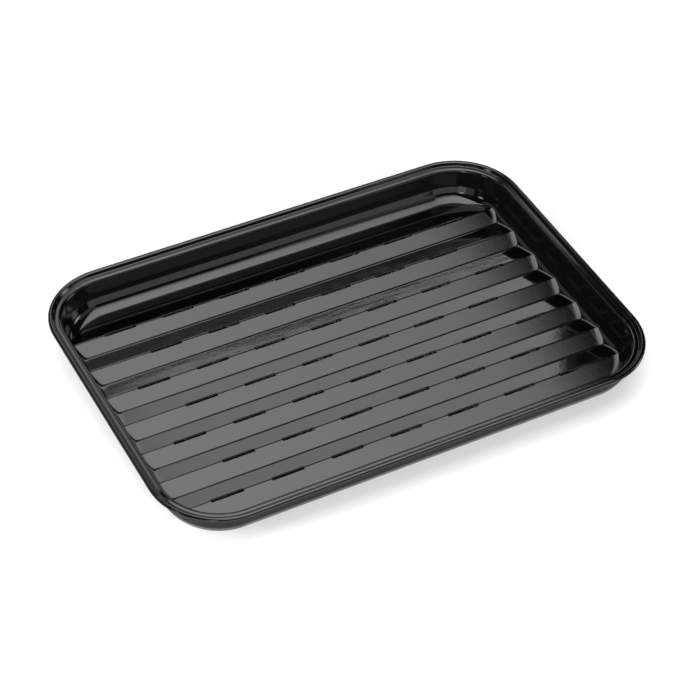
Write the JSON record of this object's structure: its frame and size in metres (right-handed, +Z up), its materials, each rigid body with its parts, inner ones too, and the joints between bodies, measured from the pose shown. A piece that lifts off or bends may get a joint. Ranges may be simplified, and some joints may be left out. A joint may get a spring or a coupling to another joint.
{
  "type": "grill tray",
  "caption": "Shallow black enamelled steel tray with a stepped rim and a ridged floor with staggered drain slots.",
  "frame": {"origin": "under the middle of the tray, in the plane that it stands on", "axes": "+X along the ridges and the long side, +Y from the front long side to the back one, +Z up out of the open top"},
  "size_m": [0.345, 0.2424, 0.0264],
  "materials": {
    "sheet_steel": "bare cold-rolled sheet, hidden under the enamel",
    "inside_enamel": "glossy black vitreous enamel with a faint orange peel",
    "underside_enamel": "glossy black vitreous enamel, a little thinner and rougher"
  },
  "bodies": {
    "root": {"steel_pan": "sheet_steel", "inside_enamel": "inside_enamel", "underside_enamel": "underside_enamel"}
  },
  "joints": []
}
